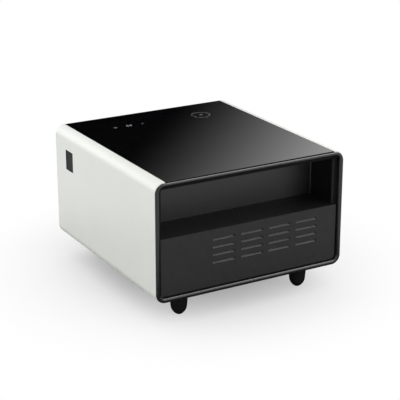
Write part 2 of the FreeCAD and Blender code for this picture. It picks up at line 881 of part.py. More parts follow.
def base_pan():
    """Bottom sheet with vent slots under the machine bay, stiffening walls and holes for feet and lead."""
    body = new_body("base_pan")
    pan_half = half_width - dim.corner_radius - dim.fit_gap
    pan_start = panel_start + dim.fit_gap
    add_prism(body, "XY_Plane", pan_bottom, pan_top, rectangle(-pan_half, pan_start, pan_half, cabinet_front))
    wall_start = bezel_back + dim.fit_gap
    wall_end = cabinet_back - dim.fit_gap
    wall_inside = pan_half - dim.pan_thickness
    add_prism(body, "XY_Plane", pan_top, pan_top + dim.pan_wall_height,
              rectangle(-pan_half, wall_start, -wall_inside, wall_end),
              rectangle(wall_inside, wall_start, pan_half, wall_end))
    slot_left = louvre_middle - dim.pan_slot_length / 2
    slot_right = louvre_middle + dim.pan_slot_length / 2
    slot_starts = [fan_back + dim.pan_slot_pitch * (slot + 1) for slot in range(SIZES["pan_slots"])]
    slots = [rectangle(slot_left, start, slot_right, start + dim.pan_slot_width) for start in slot_starts]
    holes = [Disc(foot_x * x, foot_y * y, stud_hole_radius) for name, x, y in FOOT_SIDES]
    gland_hole = Disc(gland_x, gland_y, dim.gland_body_radius + dim.fit_gap)
    cut_prism(body, "XY_Plane", pan_bottom, pan_top, *slots, *holes, gland_hole)
    gland = new_body("cord_gland", gland_x, gland_y, pan_bottom)
    wall = dim.gland_flange_wall
    revolve(gland, rounded([(dim.gland_bore_radius, -wall), (dim.gland_flange_radius, -wall),
                            (dim.gland_flange_radius, centre), (dim.gland_body_radius, centre),
                            (dim.gland_body_radius, dim.pan_thickness),
                            (dim.gland_flange_radius, dim.pan_thickness),
                            (dim.gland_flange_radius, dim.pan_thickness + wall),
                            (dim.gland_bore_radius, dim.pan_thickness + wall)]))


def feet():
    """Domed feet with glides, held to the pan by studs and nuts."""
    stud_foot = pan_bottom - dim.stud_length
    tip = dim.glide_proud
    recess_top = dim.glide_thickness
    recess_radius = dim.glide_radius + dim.fit_gap
    bore = dim.stud_radius + dim.fit_gap
    profile = rounded([(centre, recess_top), (recess_radius, recess_top), (recess_radius, tip)])
    profile += [(dim.foot_tip_radius, tip, dim.foot_dome_radius),
                (dim.foot_waist_radius, dim.foot_waist_height, None),
                (dim.foot_top_radius, pan_bottom, None)]
    profile += rounded([(bore, pan_bottom), (bore, stud_foot), (centre, stud_foot)])
    glides = []
    studs = []
    nuts = []
    for name, side_x, side_y in FOOT_SIDES:
        x = foot_x * side_x
        y = foot_y * side_y
        revolve(new_body(f"{name}_foot", x, y), profile)
        glides.append(cylinder(f"{name}_glide", dim.glide_radius, dim.glide_thickness, x, y, centre))
        studs.append(cylinder(f"{name}_stud", dim.stud_radius, pan_top + dim.stud_above_pan - stud_foot,
                              x, y, stud_foot))
        hexagon = doc.addObject("Part::Prism", f"{name}_hexagon")
        hexagon.Polygon = 6
        hexagon.setExpression("Circumradius", (dim.nut_width / math.sqrt(3)).formula)
        hexagon.setExpression("Height", dim.nut_height.formula)
        place(hexagon, x, y, pan_top)
        hole = cylinder(f"{name}_nut_hole", bore, dim.nut_height, x, y, pan_top)
        nuts.append(drilled(f"{name}_nut", hexagon, hole))
    group("foot_glides", glides)
    group("foot_studs", studs)
    group("foot_nuts", nuts)


def cold_cabinet():
    """Foam, its flanged liner, the evaporator plate on the liner's back and the lamp in its ceiling."""
    foam = new_body("insulation")
    add_prism(foam, "XZ_Plane", cabinet_back, foam_front,
              rectangle(-foam_half, pan_top, foam_half, foam_top, foam_radius))
    cut_prism(foam, "XZ_Plane", cavity_back, foam_front,
              rectangle(-cavity_half, cavity_bottom, cavity_half, cavity_top, dim.liner_radius))
    cut_prism(foam, "YZ_Plane", -foam_half, outlet_back + dim.window_gap, outlet_outline(dim.window_gap))
    nut_space = dim.nut_width * 0.75
    cut_prism(foam, "XY_Plane", pan_top, pan_top + dim.stud_above_pan + dim.window_gap,
              Disc(-foot_x, foot_y, nut_space), Disc(foot_x, foot_y, nut_space))
    pipe_holes = [Disc(drier_x, capillary_z, dim.capillary_radius + dim.fit_gap),
                  Disc(suction_x, stub_z, dim.pipe_radius + dim.fit_gap)]
    cut_prism(foam, "XZ_Plane", cabinet_back, cavity_back, *pipe_holes)
    liner = new_body("cabinet_liner")
    outer_half = cavity_half - dim.fit_gap
    outer_bottom = cavity_bottom + dim.fit_gap
    outer_top = cavity_top - dim.fit_gap
    add_prism(liner, "XZ_Plane", cavity_back, foam_front,
              rectangle(-outer_half, outer_bottom, outer_half, outer_top, dim.liner_radius))
    round_edges(liner, dim.liner_back_radius, lambda box: flat_at(box.YMin, box.YMax, cavity_back))
    hollow(liner, dim.liner_wall, lambda middle: middle.y)
    inset = dim.liner_flange_inset
    flange_half = foam_half - inset
    flange = rectangle(-flange_half, pan_top + inset, flange_half, foam_top - inset, foam_radius - inset)
    mouth = rectangle(-inside_half, inside_bottom, inside_half, inside_top, dim.liner_radius - dim.liner_wall)
    add_prism(liner, "XZ_Plane", foam_front, cabinet_front, flange, mouth)
    cut_prism(liner, "XZ_Plane", cavity_back, inside_back, *pipe_holes)
    evaporator()
    lamp = new_body("cabinet_lamp")
    lamp_high_y = cabinet_front - dim.lamp_from_front
    add_prism(lamp, "XY_Plane", inside_top - dim.lamp_height, inside_top,
              rectangle(-dim.lamp_length / 2, lamp_high_y - dim.lamp_width, dim.lamp_length / 2, lamp_high_y,
                        dim.lamp_round))
    round_edges(lamp, dim.lamp_round / 2,
                lambda box: flat_at(box.ZMin, box.ZMax, inside_top - dim.lamp_height))


def evaporator():
    """Cold plate with raised channels, and two stubs back through the liner and the foam."""
    body = new_body("evaporator_plate")
    half = inside_half - dim.evaporator_inset
    low = inside_bottom + dim.evaporator_rise
    high = inside_top - dim.evaporator_drop
    front = inside_back + dim.evaporator_wall
    add_prism(body, "XZ_Plane", inside_back, front, rectangle(-half, low, half, high))
    row_pitch = (high - low) / dim.channel_rows
    channels = [rectangle(dim.channel_width * 2 - half, low + row_pitch * (row + 0.5) - dim.channel_width / 2,
                          half - dim.channel_width * 2, low + row_pitch * (row + 0.5) + dim.channel_width / 2)
                for row in range(SIZES["channel_rows"])]
    add_prism(body, "XZ_Plane", front, front + dim.channel_height, *channels)
    add_prism(body, "XZ_Plane", evaporator_stub_end, inside_back,
              Disc(drier_x, capillary_z, dim.capillary_radius), Disc(suction_x, stub_z, dim.pipe_radius))


def drawer_front():
    """Inset front with a finger pull: a lowered lip at the top and a channel behind it."""
    body = new_body("drawer_front")
    add_prism(body, "XZ_Plane", front_back, front_face,
              rectangle(-front_half, front_bottom, front_half, front_top, front_radius))
    round_edges(body, dim.front_edge_round, lambda box: flat_at(box.YMin, box.YMax, front_face))
    lip_back = front_face - dim.pull_lip
    lip_top = front_top - dim.pull_window
    half = dim.pull_length / 2
    cut_prism(body, "XY_Plane", front_top - dim.pull_channel_drop, front_top,
              rectangle(-half, front_back + dim.pull_back_wall, half, lip_back))
    cut_prism(body, "XY_Plane", lip_top, front_top, rectangle(-half, lip_back, half, front_face))

    def on_lip(box):
        return flat_at(box.ZMin, box.ZMax, lip_top) and spans(box.XMin, box.XMax, dim.pull_length)

    round_edges(body, dim.pull_lip_round, on_lip)


def drawer_door():
    """Inner door panel and the gasket that meets the cabinet's flange."""
    panel = new_body("drawer_inner_panel")
    add_prism(panel, "XZ_Plane", inner_panel_back, front_back,
              rectangle(-inner_panel_half, inner_panel_bottom, inner_panel_half, inner_panel_top,
                        dim.inner_panel_radius))
    gasket = new_body("drawer_gasket")
    base_front = inner_panel_back - dim.gasket_base
    gasket_ring(gasket, base_front, inner_panel_back, dim.gasket_inset, dim.gasket_width)
    bulb_inset = dim.gasket_inset + (dim.gasket_width - dim.gasket_bulb_width) / 2
    bulb_front = cabinet_front + dim.fit_gap
    gasket_ring(gasket, bulb_front, base_front, bulb_inset, dim.gasket_bulb_width)
    round_edges(gasket, dim.gasket_bulb_round, lambda box: flat_at(box.YMin, box.YMax, bulb_front))


def gasket_ring(body, low, high, inset, width):
    """Pad one ring of the gasket, set in from the inner panel's edge."""
    rings = []
    for margin in (inset, inset + width):
        half = inner_panel_half - margin
        rings.append(rectangle(-half, inner_panel_bottom + margin, half, inner_panel_top - margin,
                               dim.inner_panel_radius - margin))
    add_prism(body, "XZ_Plane", low, high, *rings)


def drawer_bin():
    """Open-topped bin with rounded corners, a rim and floor ribs."""
    body = new_body("drawer_bin")
    add_prism(body, "XY_Plane", bin_bottom, bin_top,
              rectangle(-bin_half, bin_back, bin_half, inner_panel_back, dim.bin_radius))
    round_edges(body, dim.bin_floor_radius, lambda box: flat_at(box.ZMin, box.ZMax, bin_bottom))
    hollow(body, dim.bin_wall, lambda middle: middle.z)
    rim_half = bin_half + dim.bin_rim_width
    inner_half = bin_half - dim.bin_wall
    inner_radius = dim.bin_radius - dim.bin_wall
    outer = rounded([(-rim_half, bin_back - dim.bin_rim_width, dim.bin_radius),
                     (rim_half, bin_back - dim.bin_rim_width, dim.bin_radius),
                     (rim_half, inner_panel_back), (-rim_half, inner_panel_back)])
    inner = rectangle(-inner_half, bin_back + dim.bin_wall, inner_half, inner_panel_back - dim.bin_wall,
                      inner_radius)
    add_prism(body, "XY_Plane", bin_top - dim.bin_rim_wall, bin_top, outer, inner)
    floor = bin_bottom + dim.bin_wall
    rib_start = bin_back + dim.bin_radius * 2
    rib_end = inner_panel_back - dim.bin_radius * 2
    rib_pitch = (bin_half * 2 - dim.bin_radius * 4) / (dim.rib_count - 1)
    ribs = []
    for rib in range(SIZES["rib_count"]):
        middle = dim.bin_radius * 2 - bin_half + rib_pitch * rib
        ribs.append(rectangle(middle - dim.rib_width / 2, rib_start, middle + dim.rib_width / 2, rib_end))
    add_prism(body, "XY_Plane", floor, floor + dim.rib_height, *ribs)


def channel(label, side, web_out, web_in, lip_end, half_height, low, high):
    """One member of a slide: a web against its neighbour and two flanges, along Y."""
    body = new_body(label)
    sheet_wall = dim.slide_sheet
    inner_half = half_height - sheet_wall
    profile = [(web_out, -half_height), (web_out, half_height), (lip_end, half_height),
               (lip_end, inner_half), (web_in, inner_half), (web_in, -inner_half),
               (lip_end, -inner_half), (lip_end, -half_height)]
    corners = [(x * side, slide_middle_z + z) for x, z in profile]
    add_prism(body, "XZ_Plane", low, high, rounded(corners))


def slides():
    """Left and right telescopic slides, each of three nested channels."""
    low = inside_back + dim.slide_back_gap
    high = cabinet_front - dim.slide_front_gap
    outer_half = dim.slide_height / 2
    step = dim.slide_sheet + dim.slide_play
    outer_web = inside_half - dim.slide_sheet
    middle_web = outer_web - dim.slide_web_gap
    inner_web = bin_half + dim.slide_sheet
    inner_tip = middle_web - dim.slide_sheet - dim.slide_web_gap
    for name, side in (("left", -1), ("right", 1)):
        channel(f"{name}_outer_slide", side, inside_half, outer_web, inner_web, outer_half, low, high)
        channel(f"{name}_middle_slide", side, middle_web, middle_web - dim.slide_sheet, inner_web,
                outer_half - step, low + dim.slide_middle_short, high - dim.slide_middle_short)
        channel(f"{name}_inner_slide", side, bin_half, inner_web, inner_tip, outer_half - step * 2, low, high)


def compressor():
    """Hermetic can with a seam and a mounting plate, on grommets and bolts."""
    body = new_body("compressor", compressor_x, compressor_y, can_base)
    plate = rectangle(-dim.plate_length / 2, -dim.plate_width / 2, dim.plate_length / 2, dim.plate_width / 2,
                      dim.plate_radius)
    hole_radius = dim.bolt_radius + dim.fit_gap
    corners = [(dim.grommet_span_x / 2 * x, dim.grommet_span_y / 2 * y) for x in (-1, 1) for y in (-1, 1)]
    add_prism(body, "XY_Plane", -dim.plate_thickness, centre, plate)
    seam_low = dim.can_seam_height
    seam_high = dim.can_seam_height + dim.can_seam_width
    seam_radius = dim.can_radius + dim.can_seam_proud
    revolve(body, rounded([(centre, centre), (dim.can_radius, centre, dim.can_dome / 2),
                           (dim.can_radius, seam_low), (seam_radius, seam_low), (seam_radius, seam_high),
                           (dim.can_radius, seam_high), (dim.can_radius, dim.can_height, dim.can_dome),
                           (centre, dim.can_height)]))
    relay_end = dim.can_radius + dim.relay_reach
    add_prism(body, "XY_Plane", dim.relay_rise, dim.relay_rise + dim.relay_height,
              rectangle(centre, -dim.relay_length / 2, relay_end, dim.relay_length / 2))
    stub_end = dim.can_radius + dim.pipe_stub_reach
    add_prism(body, "YZ_Plane", dim.can_radius / 2, stub_end,
              Disc(-dim.pipe_stub_spacing / 2, dim.pipe_stub_rise, dim.pipe_stub_radius),
              Disc(dim.pipe_stub_spacing / 2, dim.pipe_stub_rise, dim.pipe_stub_radius))
    cut_prism(body, "XY_Plane", -dim.plate_thickness, centre, *[Disc(x, y, hole_radius) for x, y in corners])
    grommets = []
    bolts = []
    for number, (x, y) in enumerate(corners, start=1):
        spot = (compressor_x + x, compressor_y + y)
        ring = cylinder(f"grommet_ring_{number}", dim.grommet_radius, dim.grommet_height, *spot, pan_top)
        bore = cylinder(f"grommet_bore_{number}", hole_radius, dim.grommet_height, *spot, pan_top)
        grommets.append(drilled(f"grommet_{number}", ring, bore))
        shank = cylinder(f"bolt_shank_{number}", dim.bolt_radius, can_base - pan_top, *spot, pan_top)
        head = cylinder(f"bolt_head_{number}", dim.bolt_head_radius, dim.bolt_head_height, *spot, can_base)
        bolts.append(joined(f"bolt_{number}", [shank, head]))
    group("compressor_grommets", grommets)
    group("compressor_bolts", bolts)


def condenser():
    """Two upright headers joined by flat tubes, standing on the pan behind the louvres."""
    body = new_body("condenser")
    half_depth = dim.flat_tube_depth / 2
    add_prism(body, "XY_Plane", pan_top, header_top, Disc(left_header_x, condenser_y, dim.header_radius),
              Disc(right_header_x, condenser_y, dim.header_radius))
    body.AllowCompound = True
    tubes = [rectangle(condenser_y - half_depth, pan_top + dim.flat_tube_rise + dim.flat_tube_pitch * tube,
                       condenser_y + half_depth,
                       pan_top + dim.flat_tube_rise + dim.flat_tube_pitch * tube + dim.flat_tube_wall)
             for tube in range(SIZES["flat_tubes"])]
    add_prism(body, "YZ_Plane", left_header_x, right_header_x, *tubes)
    add_prism(body, "XZ_Plane", condenser_y, outlet_stub_end,
              Disc(right_header_x, outlet_stub_z, dim.liquid_pipe_radius))


def fan():
    """Fan frame with a spoked motor boss, and the rotor whose shaft turns in it."""
    frame = new_body("fan_shroud")
    half = dim.fan_frame_width / 2
    boss_front = fan_back - dim.fan_spoke_wall
    add_prism(frame, "XZ_Plane", fan_front, fan_back,
              rectangle(louvre_middle - half, pan_top, louvre_middle + half, pan_top + dim.fan_frame_height))
    cut_prism(frame, "XZ_Plane", fan_front, fan_back, Disc(louvre_middle, fan_z, dim.fan_hole_radius))
    reach = dim.fan_hole_radius + dim.fan_spoke_width / 2
    width = dim.fan_spoke_width / 2
    add_prism(frame, "XZ_Plane", boss_front, fan_back,
              rectangle(louvre_middle - reach, fan_z - width, louvre_middle + reach, fan_z + width))
    add_prism(frame, "XZ_Plane", boss_front, fan_back,
              rectangle(louvre_middle - width, fan_z - reach, louvre_middle + width, fan_z + reach))
    hub_back = fan_front + dim.fan_hub_inset + dim.fan_hub_length
    boss_start = hub_back + dim.fit_gap
    add_prism(frame, "XZ_Plane", boss_start, fan_back, Disc(louvre_middle, fan_z, dim.fan_boss_radius))
    cut_prism(frame, "XZ_Plane", boss_start, fan_back,
              Disc(louvre_middle, fan_z, dim.fan_shaft_radius + dim.fan_shaft_gap))
    fan_rotor(fan_front + dim.fan_hub_inset, fan_back - hub_back)


def fan_rotor(hub_front, shaft_length):
    """Hub, shaft and twisted blades about the fan's axis."""
    rotor = new_body("fan_rotor", louvre_middle, hub_front, fan_z)
    add_prism(rotor, "XZ_Plane", centre, dim.fan_hub_length, Disc(centre, centre, dim.fan_hub_radius))
    add_prism(rotor, "XZ_Plane", dim.fan_hub_length, dim.fan_hub_length + shaft_length,
              Disc(centre, centre, dim.fan_shaft_radius))
    sections = []
    middle = dim.fan_hub_length / 2
    tip_radius = dim.fan_hole_radius - dim.fan_tip_gap
    for radius, pitch in ((dim.fan_hub_radius / 2, dim.fan_root_pitch), (tip_radius, dim.fan_tip_pitch)):
        sketch = new_sketch(rotor, "YZ_Plane", radius, [
            rectangle(-dim.fan_blade_wall / 2, -dim.fan_blade_chord / 2,
                      dim.fan_blade_wall / 2, dim.fan_blade_chord / 2)])
        sketch.AttachmentOffset = FreeCAD.Placement(Vector(), FreeCAD.Rotation(Vector(0, 0, 1), 1))
        sketch.setExpression("AttachmentOffset.Base.x", middle.formula)
        sketch.setExpression("AttachmentOffset.Rotation.Angle", pitch.formula)
        sections.append(sketch)
    blade = add_feature(rotor, "AdditiveLoft", Profile=sections[0], Sections=sections[1:], Ruled=True)
    doc.recompute()
    add_feature(rotor, "PolarPattern", Originals=[blade], Axis=(origin_feature(rotor, "Y_Axis"), [""]),
                Angle=360, Occurrences=dim.fan_blades)


def pipe(label, points, radius, bend):
    """A bent tube along straight runs joined by tangent arcs, through points given by sizes."""
    stops = [Vector(*[as_size(value).number for value in point]) for point in points]
    edges = []
    start = stops[0]
    for before, corner, after in zip(stops, stops[1:], stops[2:]):
        back = (before - corner).normalize()
        onward = (after - corner).normalize()
        half_turn = (math.pi - back.getAngle(onward)) / 2
        reach = bend.number * math.tan(half_turn)
        inward = (back + onward).normalize()
        crown = corner + inward * (bend.number / math.cos(half_turn) - bend.number)
        edges.append(Part.LineSegment(start, corner + back * reach).toShape())
        edges.append(Part.Arc(corner + back * reach, crown, corner + onward * reach).toShape())
        start = corner + onward * reach
    edges.append(Part.LineSegment(start, stops[-1]).toShape())
    section = Part.Wire(Part.Circle(stops[0], stops[1] - stops[0], radius.number).toShape())
    item = doc.addObject("Part::Feature", label)
    item.Shape = Part.Wire(edges).makePipeShell([section], True, False)
    nodes.append(item)


def refrigerant_circuit():
    """Drier and the pipes that join compressor, condenser, drier and evaporator."""
    drier = new_body("filter_drier", drier_x, drier_y, drier_bottom)
    neck = dim.drier_neck
    length = dim.drier_length
    revolve(drier, rounded([(centre, centre), (dim.liquid_pipe_radius, centre), (dim.drier_radius, neck),
                            (dim.drier_radius, neck + length), (dim.liquid_pipe_radius, neck * 2 + length),
                            (centre, neck * 2 + length)]))
    over = header_top + dim.discharge_rise
    pipe("discharge_pipe", [(stub_end_x, discharge_y, stub_z), (left_header_x, discharge_y, stub_z),
                            (left_header_x, discharge_y, over), (left_header_x, condenser_y, over),
                            (left_header_x, condenser_y, header_top)], dim.pipe_radius, dim.pipe_bend)
    pipe("liquid_pipe", [(right_header_x, outlet_stub_end, outlet_stub_z),
                         (right_header_x, drier_y, outlet_stub_z), (drier_x, drier_y, outlet_stub_z),
                         (drier_x, drier_y, drier_bottom)], dim.liquid_pipe_radius, dim.pipe_bend)
    pipe("capillary_pipe", [(drier_x, drier_y, drier_top), (drier_x, drier_y, capillary_z),
                            (drier_x, evaporator_stub_end, capillary_z)],
         dim.capillary_radius, dim.capillary_bend)
    pipe("suction_pipe", [(suction_x, evaporator_stub_end, stub_z), (suction_x, suction_y, stub_z),
                          (stub_end_x, suction_y, stub_z)], dim.pipe_radius, dim.pipe_bend)


def control_unit():
    """Control box on the cabinet's back behind the shelf, with its board on posts and its lid."""
    low_x = dim.control_x
    high_x = low_x + dim.control_length
    low_z = shelf_floor + dim.control_rise
    high_z = shelf_ceiling - dim.control_drop
    mouth = cabinet_back - dim.control_depth
    wall = dim.control_wall
    floor = cabinet_back - wall
    box = new_body("control_box")
    add_prism(box, "XZ_Plane", mouth, cabinet_back, rectangle(low_x, low_z, high_x, high_z))
    hollow(box, wall, lambda middle: -middle.y)
    inset = dim.board_post_inset
    posts = [Disc(x, z, dim.board_post_radius) for x in (low_x + inset, high_x - inset)
             for z in (low_z + inset, high_z - inset)]
    board_back = floor - dim.board_post_height
    add_prism(box, "XZ_Plane", board_back, floor, *posts)
    board = new_body("control_board")
    margin = wall + dim.board_gap
    add_prism(board, "XZ_Plane", board_back - dim.board_wall, board_back,
              rectangle(low_x + margin, low_z + margin, high_x - margin, high_z - margin))
    lid = new_body("control_box_lid")
    add_prism(lid, "XZ_Plane", mouth - dim.control_lid_wall, mouth, rectangle(low_x, low_z, high_x, high_z))


def check_document():
    """Stop if a feature failed, a pocket cut nothing or a sub-part isn't made of sound solids."""
    for item in doc.Objects:
        if "Invalid" in item.State or "Error" in item.State:
            raise RuntimeError(f"{item.Name} failed: {item.State}")
        if item.TypeId == "PartDesign::Pocket" and item.Shape.Volume >= item.BaseFeature.Shape.Volume:
            raise RuntimeError(f"{item.Name} cuts nothing")
    for node in nodes:
        if node.Shape.isNull() or not node.Shape.isValid() or not node.Shape.Solids:
            raise RuntimeError(f"{node.Label} has no sound shape")


side_panels()
outlet()
glass_top()
end_bezel()
shelf_liner()
shelf_trim()
vent_panel()
vent_louvres()
base_pan()
feet()
cold_cabinet()
drawer_front()
drawer_door()
drawer_bin()
slides()
compressor()
condenser()
fan()
refrigerant_circuit()
control_unit()
doc.recompute()
check_document()

os.makedirs("parts", exist_ok=True)
for node in nodes:
    node.Shape.exportStep(f"parts/{node.Label}.step")
    print(node.Label, len(node.Shape.Solids), round(node.Shape.Volume))
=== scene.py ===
import math

import bmesh
import bpy
from mathutils import Matrix, Vector


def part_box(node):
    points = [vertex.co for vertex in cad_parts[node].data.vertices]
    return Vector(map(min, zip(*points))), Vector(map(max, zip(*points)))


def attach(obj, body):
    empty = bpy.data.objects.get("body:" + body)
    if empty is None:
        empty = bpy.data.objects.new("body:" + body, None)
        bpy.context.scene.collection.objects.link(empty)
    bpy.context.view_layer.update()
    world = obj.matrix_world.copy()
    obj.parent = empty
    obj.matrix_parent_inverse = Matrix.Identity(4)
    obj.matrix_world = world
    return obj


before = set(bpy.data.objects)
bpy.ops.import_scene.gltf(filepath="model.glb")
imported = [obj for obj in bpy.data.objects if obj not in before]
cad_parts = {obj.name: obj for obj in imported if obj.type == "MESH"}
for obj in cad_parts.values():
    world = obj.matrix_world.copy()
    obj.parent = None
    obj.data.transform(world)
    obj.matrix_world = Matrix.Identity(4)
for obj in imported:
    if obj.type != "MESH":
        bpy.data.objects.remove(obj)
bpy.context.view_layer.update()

# Lengths are in metres. Only the sections of the trims are in millimetres.
MILLIMETRE = 0.001

# The camera of the photograph: angles in degrees, lens and sensor in millimetres.
CAMERA_AZIMUTH = -30.02
CAMERA_ELEVATION = 19.52
CAMERA_DISTANCE = 4.155
CAMERA_TARGET = Vector((0.0167, 0.0, 0.2367))
CAMERA_LENS = 117.1
CAMERA_SENSOR = 36.0

# The light of the room on the object, where 1 is white.
AMBIENT = 0.87
WHITE = 1.0

# Most values of a noise texture lie between these.
NOISE_LOW = 0.3
NOISE_HIGH = 0.7

# The roughness of moulded plastic varies by this much of what its shade does.
GLOSS_PER_SHADE = 0.7


class Finish:
    """A node material: a Principled shader whose colour, roughness and bump come from noise."""

    def __init__(self, name, colour, roughness, sockets=None):
        self.name = name
        self.material = bpy.data.materials.new(name)
        self.material.use_nodes = True
        self.tree = self.material.node_tree
        self.shader = self.tree.nodes["Principled BSDF"]
        self.place = self.tree.nodes.new("ShaderNodeTexCoord").outputs["Object"]
        self.colour = colour
        self.roughness = roughness
        self.shader.inputs["Base Color"].default_value = (*colour, 1.0)
        self.shader.inputs["Roughness"].default_value = roughness
        for socket, value in (sockets or {}).items():
            self.shader.inputs[socket].default_value = value

    def node(self, kind, inputs, **settings):
        """A node of that kind with its inputs set or linked."""
        made = self.tree.nodes.new("ShaderNode" + kind)
        for setting, value in settings.items():
            setattr(made, setting, value)
        for socket, value in inputs.items():
            if isinstance(value, bpy.types.NodeSocket):
                self.tree.links.new(value, made.inputs[socket])
            else:
                made.inputs[socket].default_value = value
        return made

    def stretched(self, stretch):
        """The object's coordinates, stretched along each axis."""
        scale = [1 / length for length in stretch]
        return self.node("Mapping", {"Vector": self.place, "Scale": scale}).outputs["Vector"]

    def noise(self, size, detail=2.0, stretch=(1, 1, 1)):
        """Noise whose patches are about that size across."""
        place = self.stretched(stretch)
        texture = self.node("TexNoise", {"Vector": place, "Scale": 1 / size, "Detail": detail})
        return texture.outputs["Fac"]

    def cells(self, size, feature="F1"):
        """Rounded cells of about that size across."""
        texture = self.node("TexVoronoi", {"Vector": self.place, "Scale": 1 / size}, feature=feature)
        return texture.outputs["Distance"]

    def shades(self, value, at_low, at_high):
        """The surface colour runs between two shades as the value goes from low to high."""
        ramp = self.node("ValToRGB", {"Fac": value})
        stops = ramp.color_ramp.elements
        stops[0].position = NOISE_LOW
        stops[1].position = NOISE_HIGH
        stops[0].color = (*at_low, 1.0)
        stops[1].color = (*at_high, 1.0)
        self.tree.links.new(ramp.outputs["Color"], self.shader.inputs["Base Color"])

    def mottle(self, value, spread):
        """The surface colour varies by that share to each side."""
        dark = [channel * (1 - spread) for channel in self.colour]
        light = [channel * (1 + spread) for channel in self.colour]
        self.shades(value, dark, light)

    def gloss(self, value, spread):
        """The roughness varies by that much to each side."""
        spans = {"From Min": NOISE_LOW, "From Max": NOISE_HIGH}
        ends = {"To Min": self.roughness - spread, "To Max": self.roughness + spread}
        varied = self.node("MapRange", {"Value": value, **spans, **ends})
        self.tree.links.new(varied.outputs["Result"], self.shader.inputs["Roughness"])

    def grain(self, height, depth):
        """A bump of that depth."""
        bump = self.node("Bump", {"Height": height, "Distance": depth, "Strength": 1.0})
        self.tree.links.new(bump.outputs["Normal"], self.shader.inputs["Normal"])

    def faded(self, value, near, far, first, last):
        """A value that runs smoothly from first to last as another goes from near to far."""
        spans = {"From Min": near, "From Max": far, "To Min": first, "To Max": last}
        made = self.node("MapRange", {"Value": value, **spans}, interpolation_type="SMOOTHSTEP")
        return made.outputs["Result"]

    def surface(self, shader):
        """Another shader takes the Principled one's place."""
        self.tree.links.new(shader, self.tree.nodes["Material Output"].inputs["Surface"])


def painted(name, colour, roughness):
    """Sprayed paint: even, with a fine orange peel."""
    finish = Finish(name, colour, roughness)
    finish.mottle(finish.noise(size=0.12), spread=0.012)
    finish.gloss(finish.noise(size=0.03, detail=4.0), spread=0.04)
    finish.grain(finish.noise(size=0.0022), depth=0.000008)
    return finish


def moulded(name, colour, roughness, grain_size, grain_depth, specular=0.5, spread=0.07):
    """Moulded plastic with a spark-eroded grain. Spread is how far its shade varies."""
    finish = Finish(name, colour, roughness, {"Specular IOR Level": specular})
    finish.mottle(finish.noise(size=0.02, detail=6.0), spread)
    finish.gloss(finish.noise(size=0.01, detail=5.0), GLOSS_PER_SHADE * spread)
    finish.grain(finish.noise(grain_size, detail=3.0), grain_depth)
    return finish


def brushed(name, colour, roughness, stretch):
    """Rolled or brushed metal with streaks along one axis."""
    finish = Finish(name, colour, roughness, {"Metallic": 1.0})
    streaks = finish.noise(size=0.0012, detail=4.0, stretch=stretch)
    finish.mottle(finish.noise(size=0.05, detail=5.0), spread=0.10)
    finish.gloss(streaks, spread=0.10)
    finish.grain(streaks, depth=0.00002)
    return finish


def black_glass(name):
    """Polished black glass with the faintest smears."""
    finish = Finish(name, colour=(0.0035, 0.0035, 0.0042), roughness=0.035, sockets={"IOR": 1.5})
    finish.mottle(finish.noise(size=0.08, detail=3.0), spread=0.10)
    finish.gloss(finish.noise(size=0.045, detail=6.0), spread=0.012)
    return finish


def rigid_foam(name):
    """Insulating foam with fine open cells."""
    finish = Finish(name, colour=(0.80, 0.72, 0.50), roughness=0.85)
    finish.mottle(finish.noise(size=0.03, detail=6.0), spread=0.10)
    finish.grain(finish.cells(size=0.0016), depth=0.0003)
    return finish


def circuit_board(name):
    """Solder mask with paler tracks."""
    finish = Finish(name, colour=(0.03, 0.16, 0.08), roughness=0.35)
    tracks = finish.cells(size=0.006, feature="DISTANCE_TO_EDGE")
    finish.shades(tracks, at_low=(0.06, 0.26, 0.12), at_high=(0.02, 0.12, 0.06))
    finish.gloss(finish.noise(size=0.01), spread=0.06)
    finish.grain(tracks, depth=0.00005)
    return finish


def drawn_copper(name, colour):
    """Copper with a light tarnish."""
    finish = Finish(name, colour, roughness=0.28, sockets={"Metallic": 1.0})
    tarnish = finish.noise(size=0.018, detail=7.0)
    finish.shades(tarnish, at_low=(0.42, 0.20, 0.11), at_high=(0.80, 0.46, 0.30))
    finish.gloss(finish.noise(size=0.008, detail=5.0), spread=0.10)
    finish.grain(finish.noise(size=0.002, detail=3.0), depth=0.00003)
    return finish


def frosted(name):
    """Milky plastic in front of a lamp."""
    finish = Finish(name, colour=(0.88, 0.89, 0.90), roughness=0.45, sockets={"Subsurface Weight": 0.2})
    finish.mottle(finish.noise(size=0.01, detail=3.0), spread=0.03)
    finish.gloss(finish.noise(size=0.004, detail=4.0), spread=0.06)
    finish.grain(finish.noise(size=0.0008), depth=0.00004)
    return finish


def rubber(name, colour, specular=0.35):
    """Dull rubber with a fine grain."""
    finish = Finish(name, colour, roughness=0.75, sockets={"Specular IOR Level": specular})
    finish.mottle(finish.noise(size=0.006, detail=6.0), spread=0.20)
    finish.gloss(finish.noise(size=0.004, detail=4.0), spread=0.08)
    finish.grain(finish.noise(size=0.0007, detail=4.0), depth=0.00005)
    return finish


def printed(name, colour):
    """Matt ink, a little uneven."""
    finish = Finish(name, colour, roughness=0.5)
    finish.mottle(finish.noise(size=0.004), spread=0.05)
    finish.gloss(finish.noise(size=0.002), spread=0.05)
    return finish


